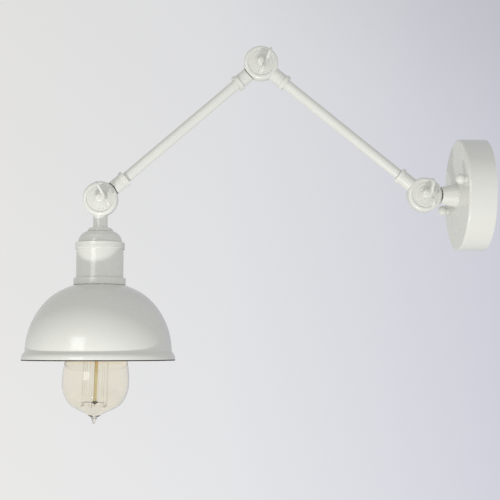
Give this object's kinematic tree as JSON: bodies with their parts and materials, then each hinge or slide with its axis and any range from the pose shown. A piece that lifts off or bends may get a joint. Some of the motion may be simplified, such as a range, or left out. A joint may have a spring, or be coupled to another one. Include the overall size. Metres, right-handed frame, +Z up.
{
  "type": "wall sconce",
  "caption": "Wall light with a round canopy, two friction-jointed arms, wing-screw knuckles and a dome shade over a clear filament bulb.",
  "frame": {"origin": "centre of the canopy's back, on the wall, midway between the two wall screw holes", "axes": "+Y into the wall, -Y out into the room along the reach, +Z up, +X the side of the wing screws; the arms swing in the plane X = 0"},
  "size_m": [0.15, 0.459, 0.3772],
  "materials": {
    "paint": "glossy warm white enamel",
    "zinc_steel": "zinc plated",
    "green_screw": "green passivated",
    "nylon": "moulded",
    "brass": "pressed",
    "fibre": "pressed fibre",
    "bakelite": "moulded",
    "porcelain": "glazed",
    "cap_brass": "rolled thread",
    "black_glass": "glossy",
    "solder": "solder",
    "amber_glass": "clear amber tint",
    "filament_wire": "carbonised wire",
    "support_wire": "drawn wire"
  },
  "bodies": {
    "wall_mount": {"canopy_shell": "paint", "mounting_strap": "zinc_steel", "canopy_studs": "zinc_steel", "stud_locknuts": "zinc_steel", "ball_nuts": "paint", "ground_screw": "green_screw", "terminal_block": "nylon", "terminal_barrels": "brass", "terminal_screws": "brass", "block_screw": "zinc_steel", "wall_knuckle": "paint", "stem_pipe": "zinc_steel", "stem_nut": "zinc_steel", "stem_washer": "zinc_steel", "wall_friction_washer": "fibre"},
    "wall_wing": {"wall_wing_screw": "paint", "wall_wing_washer": "paint"},
    "arm1": {"arm1_lower_knuckle": "paint", "arm1_tube": "paint", "arm1_lock_rings": "paint", "arm1_upper_knuckle": "paint"},
    "elbow_wing": {"elbow_wing_screw": "paint", "elbow_wing_washer": "paint"},
    "arm2": {"arm2_upper_knuckle": "paint", "arm2_tube": "paint", "arm2_lock_rings": "paint", "arm2_lower_knuckle": "paint", "elbow_friction_washer": "fibre", "head_friction_washer": "fibre"},
    "head_wing": {"head_wing_screw": "paint", "head_wing_washer": "paint"},
    "head": {"head_knuckle": "paint", "head_pipe": "zinc_steel", "cap_nut": "zinc_steel", "socket_cap": "paint", "socket_cup": "paint", "cup_ring": "paint", "holder_dome": "bakelite", "holder_skirt": "bakelite", "holder_core": "porcelain", "screw_shell": "brass", "centre_contact": "brass", "holder_terminals": "brass", "clamp_ring": "bakelite", "shade": "paint", "bulb_cap": "cap_brass", "bulb_insulator": "black_glass", "bulb_contact": "solder", "bulb_glass": "amber_glass", "glass_stem": "amber_glass", "filament": "filament_wire", "filament_supports": "support_wire", "lead_wires": "support_wire"}
  },
  "joints": [
    {"name": "wall_joint", "type": "hinge", "parent": "wall_mount", "child": "arm1", "pos_m": [0, -0.06, 0], "axis": [-1, 0, 0], "range_deg": [-60, 50]},
    {"name": "elbow_joint", "type": "hinge", "parent": "arm1", "child": "arm2", "pos_m": [0, -0.22437, 0.1331], "axis": [1, 0, 0], "range_deg": [-125, 45]},
    {"name": "head_joint", "type": "hinge", "parent": "arm2", "child": "head", "pos_m": [0, -0.38399, -0.00566], "axis": [-1, 0, 0], "range_deg": [-80, 120]},
    {"name": "wall_wing_turn", "type": "hinge", "parent": "wall_mount", "child": "wall_wing", "pos_m": [0, -0.06, 0], "axis": [1, 0, 0], "range_deg": [0, 360]},
    {"name": "elbow_wing_turn", "type": "hinge", "parent": "arm2", "child": "elbow_wing", "pos_m": [0, -0.22437, 0.1331], "axis": [1, 0, 0], "range_deg": [0, 360]},
    {"name": "head_wing_turn", "type": "hinge", "parent": "arm2", "child": "head_wing", "pos_m": [0, -0.38399, -0.00566], "axis": [1, 0, 0], "range_deg": [0, 360]}
  ]
}
